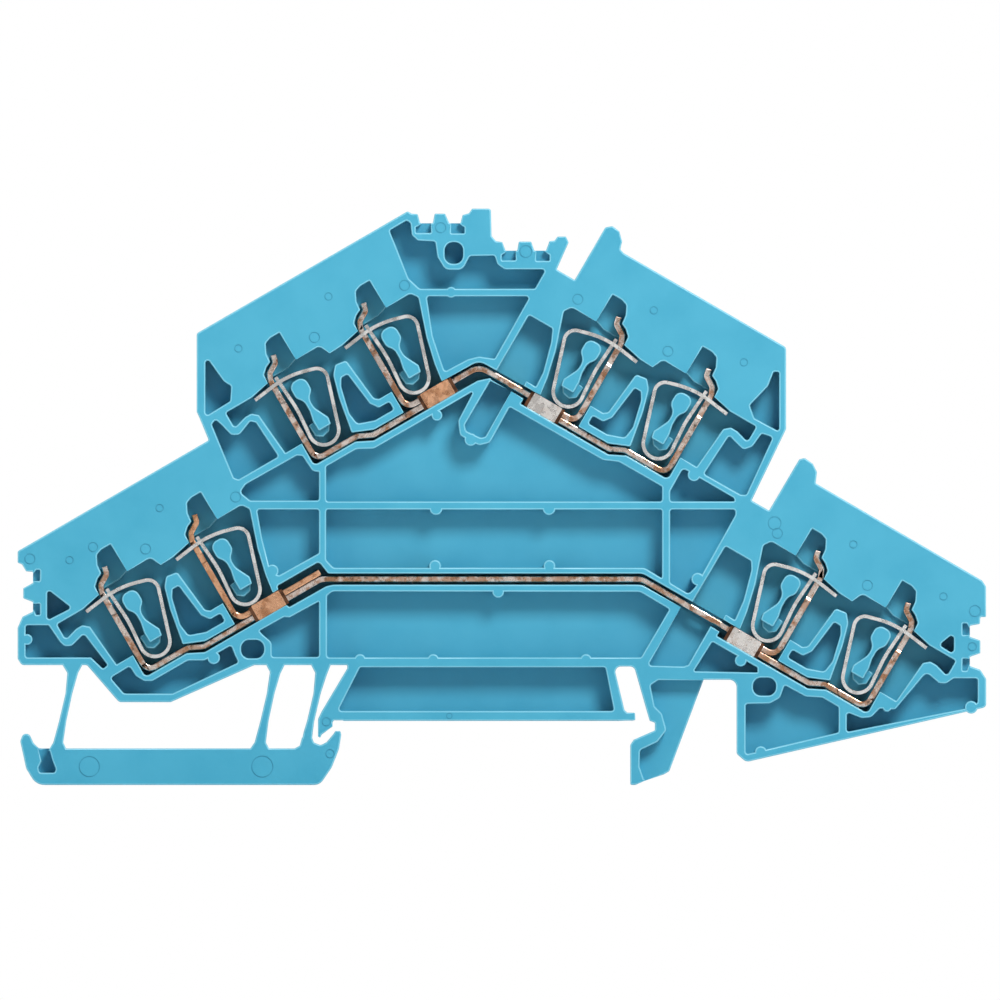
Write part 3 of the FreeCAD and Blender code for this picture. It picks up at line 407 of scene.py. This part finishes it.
def fill_flat(bm, rim, facing):
    """Fills the flat space inside the rim, a list of pairs of corners, with triangles."""
    spots = list(dict.fromkeys(corner for pair in rim for corner in pair))
    index = {corner: i for i, corner in enumerate(spots)}
    places = [Vector((corner.co.x, corner.co.z)) / MM for corner in spots]
    lines = [(index[one], index[other]) for one, other in rim]
    points, edges, triangles, source, sources, _ = geometry.delaunay_2d_cdt(
        places, lines, [], 0, 1e-4)
    fences = {frozenset(edge) for edge, known in zip(edges, sources) if known}
    beside = {}
    for i, triangle in enumerate(triangles):
        for side in zip(triangle, triangle[1:] + triangle[:1]):
            if frozenset(side) not in fences:
                beside.setdefault(frozenset(side), []).append(i)

    def neighbours(i):
        sides = zip(triangles[i], triangles[i][1:] + triangles[i][:1])
        return [each for side in sides for each in beside.get(frozenset(side), ())]

    outline = [(places[one], places[other]) for one, other in lines]
    corners = [spots[known[0]] if known else None for known in source]
    for group in groups(range(len(triangles)), neighbours):
        widest = max(group, key=lambda i: geometry.area_tri(*[points[k] for k in triangles[i]]))
        middle = sum((points[k] for k in triangles[widest]), Vector((0, 0))) / 3
        if not is_inside(middle.x, middle.y, outline):
            continue
        for i in group:
            for k in triangles[i]:
                if corners[k] is None:
                    place = (points[k].x * MM, spots[0].co.y, points[k].y * MM)
                    corners[k] = bm.verts.new(place)
            around = [corners[k] for k in triangles[i]]
            if len(set(around)) == 3:
                new_face(bm, around, facing)


def add_chain(bm, corner, rim):
    """A corner's places across the rounding, from the wall over the middle to the flat face."""
    inset = rim.inward * rim.width
    drop = rim.out * rim.width
    diagonal = math.sqrt(0.5)
    middle = bm.verts.new(corner.co + inset - drop + diagonal * drop - diagonal * inset)
    rim.chain = [corner, middle, bm.verts.new(corner.co + inset)]
    corner.co -= drop


def flat_outlines(bm, corners):
    """Each flat region with a rounded rim: its faces, its normal and its smaller outline."""
    flats = {face for face in bm.faces if is_flat(face)}

    def beside(face):
        return [each for edge in face.edges for each in edge.link_faces if each in flats]

    outlines = []
    for region in groups(flats, beside):
        if any(corner in corners for face in region for corner in face.verts):
            sides = [edge for face in region for edge in face.edges
                     if sum(each in flats for each in edge.link_faces) == 1]
            outline = [[corners[c].chain[2] if c in corners else c for c in edge.verts]
                       for edge in sides]
            outlines.append((region, region[0].normal.copy(), outline))
    return outlines


def add_rounding(bm, edge, inside, corners, material):
    """Two strips of faces, from the wall to the flat face."""
    one, other = (corners[c].chain if c in corners else [c] * 3 for c in edge.verts)
    out = sum((corners[c].out for c in edge.verts if c in corners), Vector())
    for step in (0, 1):
        around = [one[step], other[step], other[step + 1], one[step + 1]]
        distinct = list(dict.fromkeys(around))
        if len(distinct) > 2:
            new_face(bm, distinct, out - inside).material_index = material


def soften(bm, width, material):
    """Rounds the rims of all faces that look along Y, over a wall that runs along Y."""
    inward, blocked = find_rims(bm)
    corners = rim_corners(inward, blocked, width)
    limit_widths(inward, corners, width)
    for corner, rim in corners.items():
        add_chain(bm, corner, rim)
    for region, facing, outline in flat_outlines(bm, corners):
        bmesh.ops.delete(bm, geom=region, context="FACES_ONLY")
        fill_flat(bm, outline, facing)
    for edge, inside in inward.items():
        add_rounding(bm, edge, inside, corners, material)
    loose = [edge for edge in bm.edges if not edge.link_faces]
    bmesh.ops.delete(bm, geom=loose, context="EDGES")


# ---------------------------------------------------------------- the moulding

SEAM_TOP = 4.9 * MM  # where the middle of each leg meets its upper and its lower end
SEAM_BOTTOM = -1.2 * MM
ROOT = 0.3 * MM
RING_DEPTH = 0.08 * MM
MOULD_ROUND = 0.16 * MM
FLEX_STEPS = 10
# The ring floors take the darker plastic, which is painted shade.
# The rounded rim faces take the lighter plastic, which is a painted highlight.
RIM_FACES, RING_FACES = 1, 2  # which of the moulding's materials they have


def leg_root(leg, top):
    """The end of a leg, from its seam, reaching a little into what it grows from."""
    bm = welded(NODES[leg].data)
    low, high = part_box(leg)
    cut(bm, SEAM_TOP if top else SEAM_BOTTOM, drop=-1 if top else 1)
    for corner in bm.verts:
        if top and corner.co.z > high.z - TINY:
            corner.co.z += ROOT
        if not top and corner.co.z < low.z + TINY:
            corner.co.z -= ROOT
    return to_mesh(outward(closed(bm)), leg + "_root")


def united(node_name, top):
    """A moulded node with the near ends of the legs grown onto it, open at their seams."""
    body = to_mesh(welded(NODES[node_name].data), node_name + "_base")
    base = link(node_name + "_base", body)
    tools = [link(leg + "_root", leg_root(leg, top)) for leg in LEGS]
    for tool in tools:
        join = base.modifiers.new("Join", "BOOLEAN")
        join.operation = "UNION"
        join.solver = "EXACT"
        join.object = tool
    scene = bpy.context.evaluated_depsgraph_get()
    bm = welded(bpy.data.meshes.new_from_object(base.evaluated_get(scene)))
    for each in [base, *tools]:
        bpy.data.objects.remove(each)
    joined_flats(bm)
    seam = SEAM_TOP if top else SEAM_BOTTOM
    spans = [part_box(leg) for leg in LEGS]
    ends = [face for face in bm.faces
            if all(abs(corner.co.z - seam) < TINY for corner in face.verts)
            and any(low.x < face.calc_center_median().x < high.x for low, high in spans)]
    bmesh.ops.delete(bm, geom=ends, context="FACES")
    return bm


def shade_moulding(piece):
    """Smooth walls and rims, with every face that looks along Y dead flat up to its rim."""
    mesh = piece.data
    mesh.shade_smooth()
    mesh.set_sharp_from_angle(angle=HARD_CORNER)
    flat = {}
    for face in mesh.polygons:
        if is_flat(face):
            level = Vector((0, math.copysign(1, face.normal.y), 0))
            flat.update((corner, level) for corner in face.vertices)
    directions = [Vector()] * len(mesh.loops)
    for face in mesh.polygons:
        for i in face.loop_indices:
            level = flat.get(mesh.loops[i].vertex_index)
            if level is not None and level.dot(face.normal) > math.cos(HARD_CORNER):
                directions[i] = level
    mesh.normals_split_custom_set(directions)


def mark_rings(bm):
    """The floors of the fine ejector rings get the third, darker plastic: painted shade in the
    grooves.
    """
    bm.normal_update()
    floor = cad_low.y + RING_DEPTH
    for face in bm.faces:
        off = abs(face.calc_center_median().y - floor)
        if face.normal.y < -ALONG_Y and off < RING_DEPTH / 4:
            face.material_index = RING_FACES


def moulded(name, bm, replaced):
    soften(bm, MOULD_ROUND, RIM_FACES)
    bm = closed(bm)
    mark_rings(bm)
    piece = link(name, to_mesh(bm, name))
    paint(piece, "housing_plastic", PLASTIC, PLASTIC_PAINTED_HIGHLIGHT, PLASTIC_PAINTED_SHADE)
    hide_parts(replaced)
    return piece


def flexible(piece):
    """Crosswise cuts along a leg."""
    bm = bmesh.new()
    bm.from_mesh(piece.data)
    for i in range(1, FLEX_STEPS):
        cut(bm, SEAM_TOP + (SEAM_BOTTOM - SEAM_TOP) * i / FLEX_STEPS)
    bm.to_mesh(piece.data)
    bm.free()


def make_moulding():
    for name, node_name in (("housing_moulding", "housing"), ("release_foot", "rail_foot")):
        piece = moulded(name, united(node_name, node_name == "housing"), node_name)
        shade_moulding(piece)
        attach(piece, node_name)
    for leg in LEGS:
        bm = joined_flats(welded(NODES[leg].data))
        cut(bm, SEAM_TOP, 1)
        cut(bm, SEAM_BOTTOM, -1)
        piece = moulded(leg.replace("foot_leg", "flexing_leg"), bm, leg)
        flexible(piece)
        shade_moulding(piece)
        x = sum(corner.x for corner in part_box(leg)) / 2
        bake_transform(piece)


# ---------------------------------------------------------------- clamp springs

# The spring's own axes: p up the slope of its row, q square to it, from the foot of the post.
TILT = math.radians(30)
STOCK = 0.38 * MM
FOOT_BEND = Vector((2.75, 3.75)) * MM
FOOT_RADIUS = 1.65 * MM
SHOULDER = Vector((4.85, 8.9)) * MM
SHOULDER_RADIUS = 1.2 * MM
RISE = SHOULDER - FOOT_BEND
NARROWING = FOOT_RADIUS - SHOULDER_RADIUS
LEVER_HEADING = math.atan2(RISE.y, RISE.x) + math.asin(NARROWING / RISE.length)
LEVER_LENGTH = math.sqrt(RISE.length ** 2 - NARROWING ** 2)
OUTWARD = Vector((math.sin(LEVER_HEADING), -math.cos(LEVER_HEADING)))
PIVOT = FOOT_BEND + (FOOT_RADIUS - STOCK / 2) * OUTWARD
SEAT_HEADING = math.radians(85.5)
SEAT_RUNS = (2.4 * MM, 3.3 * MM)  # before and after its bow
SEAT_BOW = (12.0 * MM, math.radians(8.5))  # radius and turn
LEG_HEADING = math.radians(164.3)
LEG_RUNS = (1.0 * MM, 2.3 * MM)
LEG_BOW = (10.0 * MM, math.radians(23.5))
FOOT_BLEND = (0.3 * MM, FOOT_RADIUS - STOCK / 2)  # outward from the bend: from where to where
SHOULDER_BLEND = (0.9 * MM, -0.3 * MM)
NECK_FROM = 9.7 * MM
WINDOW = (-0.04 * MM, 3.5 * MM)
WIDE, WINDOW_TALL, NECK = 3.7 * MM, 2.6 * MM, 2.0 * MM
COLUMNS = [-WIDE / 2, -WINDOW_TALL / 2, -NECK / 2, NECK / 2, WINDOW_TALL / 2, WIDE / 2]
SPRING_ROUND = 0.13 * MM
SQUARE_EDGE = math.radians(60)
BEND_STEP = math.radians(7)
RUN_STEP = 0.4 * MM


def walk(start, heading, moves):
    """Stations along stock: place and heading, through runs (length) and bends (radius, turn)."""
    stations = [(start.copy(), heading)]
    here = start.copy()
    for move in moves:
        length = move[0] if len(move) == 1 else move[0] * abs(move[1])
        turn = 0.0 if len(move) == 1 else move[1]
        count = math.ceil(max(length / RUN_STEP, abs(turn) / BEND_STEP))
        chord = length / count
        if turn:
            half = abs(turn) / count / 2
            chord *= math.sin(half) / half
        for _ in range(count):
            heading += turn / count / 2
            here = here + chord * Vector((math.cos(heading), math.sin(heading)))
            heading += turn / count / 2
            stations.append((here.copy(), heading))
    return stations


def spring_stations():
    """The seat with its U bend, the lever and the window leg, as one list from end to end."""
    split = FOOT_BEND + FOOT_RADIUS * OUTWARD
    top = SHOULDER + SHOULDER_RADIUS * OUTWARD
    seat = walk(split, LEVER_HEADING + math.pi,
                [(FOOT_RADIUS, SEAT_HEADING - LEVER_HEADING - math.pi),
                 (SEAT_RUNS[0],), SEAT_BOW, (SEAT_RUNS[1],)])
    lever = walk(split, LEVER_HEADING, [(LEVER_LENGTH,)])
    window = walk(top, LEVER_HEADING,
                  [(SHOULDER_RADIUS, LEG_HEADING - LEVER_HEADING),
                   (LEG_RUNS[0],), LEG_BOW, (LEG_RUNS[1],)])
    seat = [(place, heading - math.pi) for place, heading in reversed(seat)]
    middle = len(seat) - 1 + len(lever) // 2
    return seat + lever[1:] + window[1:], middle


def with_station(stations, wanted, axis):
    """Adds a station where the stock first crosses a value of p (axis 0) or q (axis 1)."""
    for i in range(len(stations) - 1):
        (a, heading_a), (b, heading_b) = stations[i], stations[i + 1]
        if (a[axis] - wanted) * (b[axis] - wanted) < 0:
            share = (wanted - a[axis]) / (b[axis] - a[axis])
            place = a.lerp(b, share)
            return stations[:i + 1] + [(place, heading_a)] + stations[i + 1:]
    return stations


def strip(stations, filled):
    """Flat stock bent along stations. filled says which cells between columns are metal."""
    bm = bmesh.new()
    corners = {}

    def corner(i, j, face):
        if (i, j, face) not in corners:
            place, heading = stations[i]
            square = Vector((-math.sin(heading), math.cos(heading)))
            spot = place + square * (face * STOCK / 2)
            corners[i, j, face] = bm.verts.new((spot.x, COLUMNS[j], spot.y))
        return corners[i, j, face]

    metal_cells = {(i, j) for i in range(len(stations) - 1) for j in range(len(COLUMNS) - 1)
                   if filled(stations[i][0].lerp(stations[i + 1][0], 0.5), j)}
    for i, j in metal_cells:
        around = [(i, j), (i + 1, j), (i + 1, j + 1), (i, j + 1)]
        bm.faces.new([corner(a, b, 1) for a, b in around])
        bm.faces.new([corner(a, b, -1) for a, b in reversed(around)])
        for (near, far), beyond in zip(zip(around, around[1:] + around[:1]),
                                       [(i, j - 1), (i + 1, j), (i, j + 1), (i - 1, j)]):
            if beyond not in metal_cells:
                bm.faces.new([corner(*near, -1), corner(*far, -1), corner(*far, 1),
                              corner(*near, 1)])
    return bm


def seat_filled(place, column):
    """The seat narrows to a neck at its tip, past the window leg."""
    return place.y < NECK_FROM or place.x > FOOT_BEND.x or column == 2


def leg_filled(place, column):
    """The window leg has a hole in the middle, which the post and the wire go through."""
    inside = WINDOW[0] < place.x < WINDOW[1] and place.y > SHOULDER.y
    return not inside or column in (0, 4)


def in_row(hinge):
    """A function that sets a point of the spring's own axes in the frame, by a lever's hinge."""
    side = -round(hinge["axis"][1])
    anchor = hinge["pos_m"]

    def placed(p, y, q):
        along, square = p - PIVOT.x, q - PIVOT.y
        x = along * math.cos(TILT) - square * math.sin(TILT)
        z = along * math.sin(TILT) + square * math.cos(TILT)
        return Vector((anchor[0] + side * x, anchor[1] + y, anchor[2] + z))
    return placed


def make_half(clamp, half, shape, names, bend, blend):
    """One length of the strip."""
    placed = in_row(JOINTS[clamp + "_lever_hinge"])
    bm = shape.copy()
    for corner in bm.verts:
        corner.co = placed(*corner.co)
    piece = link(clamp + "_spring_" + half, to_mesh(outward(bm), clamp + "_" + half))
    paint(piece, "spring_steel", SPRING_STEEL)
    shade(piece)
    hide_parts(*[clamp + "_spring_" + name for name in names])
    start, end = (placed(bend.x + out * OUTWARD.x, 0, bend.y + out * OUTWARD.y) for out in blend)
    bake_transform(piece)
    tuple(start)
    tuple(end)


def rounded_strip(stations, filled, join):
    """A strip with rounded edges, square only where the two lengths meet."""
    bm = strip(stations, filled)

    def at_join(edge):
        return all((Vector((c.co.x, c.co.z)) - join).length < STOCK for c in edge.verts)

    edges = [edge for edge in bm.edges if edge.is_manifold
             and edge.calc_face_angle() > SQUARE_EDGE and not at_join(edge)]
    bmesh.ops.bevel(bm, geom=edges, offset=SPRING_ROUND, segments=2, profile=0.5,
                    affect="EDGES", clamp_overlap=True)
    return bm


def make_springs():
    stations, middle = spring_stations()
    lower = with_station(stations[:middle + 1], NECK_FROM, 1)
    upper = stations[middle:]
    for edge in WINDOW:
        upper = with_station(upper, edge, 0)
    join = stations[middle][0]
    lower_shape = rounded_strip(lower, seat_filled, join)
    upper_shape = rounded_strip(upper, leg_filled, join)
    for clamp in CLAMPS:
        make_half(clamp, "lower", lower_shape, ("seat", "lever"),
                  FOOT_BEND, FOOT_BLEND)
        make_half(clamp, "upper", upper_shape, ("window",),
                  SHOULDER, SHOULDER_BLEND)
    lower_shape.free()
    upper_shape.free()


# ---------------------------------------------------------------- bars and sleeves

BAR_ROUND = 0.1 * MM
COPPER_ROWS = ("upper_left", "lower_left")
COPPER_BAR = "lower_left_inner_bar"
SHADE_RING_SPANS = ((2.02 * MM, 2.38 * MM), (5.87 * MM, 6.23 * MM))
SHADE_RING_OUTER = (0.06 * MM, 1.79 * MM, 1.76 * MM)  # bottom, top and half width
SHADE_RING_INNER = (0.23 * MM, 1.62 * MM, 1.56 * MM)


def round_node(name, slot, material):
    """A CAD node keeps its mesh and gets rounded edges and a material."""
    piece = NODES[name]
    paint(piece, slot, material)
    weld = piece.modifiers.new("Weld", "WELD")
    weld.merge_threshold = TINY
    bevel = piece.modifiers.new("Edges", "BEVEL")
    bevel.width = BAR_ROUND
    bevel.segments = 2
    bevel.limit_method = "ANGLE"
    bevel.angle_limit = HARD_CORNER
    weigh_normals(piece)


def make_bars():
    for name in BARS:
        material = BARE_COPPER if name == COPPER_BAR else TINNED_COPPER
        round_node(name, "tinned_copper", material)
    for row in ROWS:
        material = BARE_COPPER if row in COPPER_ROWS else BRIGHT_TIN
        round_node(row + "_sleeve", "copper_sleeve", material)


def make_shade_rings():
    """The dark rings round the two bars at either end of each sleeve: painted shade at the sleeve
    ends.
    """
    for row in ROWS:
        placed = in_row(JOINTS[row + "_inner_lever_hinge"])
        bm = bmesh.new()
        for span in SHADE_RING_SPANS:
            rings = []
            for p in span:
                for bottom, top, half in (SHADE_RING_OUTER, SHADE_RING_INNER):
                    rings.append([bm.verts.new(placed(p, y, q)) for y, q in
                                  ((-half, bottom), (half, bottom), (half, top), (-half, top))])
            for one, other in ((0, 1), (0, 2), (1, 3), (2, 3)):
                for i in range(4):
                    j = (i + 1) % 4
                    bm.faces.new((rings[one][i], rings[one][j], rings[other][j], rings[other][i]))
        piece = link(row + "_shade_rings", to_mesh(outward(bm), row + "_shade_rings"))
        # The rings are near-black: painted shade where the sleeve ends lie in shade.
        paint(piece, "copper_sleeve", PAINTED_SHADE_COPPER)
        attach(piece, "housing")


# ---------------------------------------------------------------- studio

VIEW_WIDE = 109.3 * MM
VIEW_LEFT = 0.21 * MM
VIEW_DOWN = 0.35 * MM
EYE_Y = -0.5
FLOOR_GAP = 0.05 * MM
ROOM_FRONT = 0.28  # brightness of the room on the camera's side; it is white behind the block
ROOM_TURN = (-0.5, 0.3)  # the Y of the directions between which it turns white
LIGHTS = {"key": ((0.20, -0.56, 0.36), 0.20, 3.5),  # place from the middle, size and power
          "fill": ((-0.50, -0.45, 0.10), 0.40, 0.5)}


def make_floor():
    bpy.ops.mesh.primitive_plane_add(size=3, location=(0, 0, cad_low.z - FLOOR_GAP))
    floor = bpy.context.object
    floor.name = "floor"
    material, tree, shader, where = start_material("pale_floor")
    tone = blend_colour(tree, noise(tree, where, 30.0), (0.80, 0.80, 0.80), (0.84, 0.84, 0.84))
    tree.links.new(tone, shader.inputs["Base Color"])
    shader.inputs["Roughness"].default_value = 0.6
    floor.data.materials.append(material)


def make_room():
    """A room that is white behind the block and dimmer on the camera's side."""
    world = bpy.data.worlds.new("studio")
    world.use_nodes = True
    tree = world.node_tree
    direction = node(tree, "ShaderNodeTexCoord").outputs["Generated"]
    towards = node(tree, "ShaderNodeSeparateXYZ", {"Vector": direction}).outputs["Y"]
    brightness = ramp(tree, towards, *ROOM_TURN, ROOM_FRONT, 1.0)
    tree.links.new(brightness, tree.nodes["Background"].inputs["Color"])
    tree.nodes["Background"].inputs["Strength"].default_value = 1.0
    bpy.context.scene.world = world
    bpy.context.scene.view_settings.view_transform = "Standard"


def make_lights(middle):
    for name, (place, size, power) in LIGHTS.items():
        light = bpy.data.lights.new(name, "AREA")
        light.size = size
        light.energy = power
        lamp = bpy.data.objects.new(name, light)
        lamp.location = middle + Vector(place)
        lamp.rotation_euler = (-Vector(place)).to_track_quat("-Z", "Y").to_euler()
        bpy.context.scene.collection.objects.link(lamp)


def make_camera(middle):
    camera = bpy.data.cameras.new("camera")
    camera.type = "ORTHO"
    camera.ortho_scale = VIEW_WIDE
    eye = bpy.data.objects.new("camera", camera)
    eye.location = (middle.x - VIEW_LEFT, EYE_Y, middle.z - VIEW_DOWN)
    eye.rotation_euler = (math.radians(90), 0, 0)
    bpy.context.scene.collection.objects.link(eye)
    bpy.context.scene.camera = eye


make_moulding()
make_springs()
make_bars()
make_shade_rings()
make_floor()
make_room()
make_lights((cad_low + cad_high) / 2)
make_camera((cad_low + cad_high) / 2)
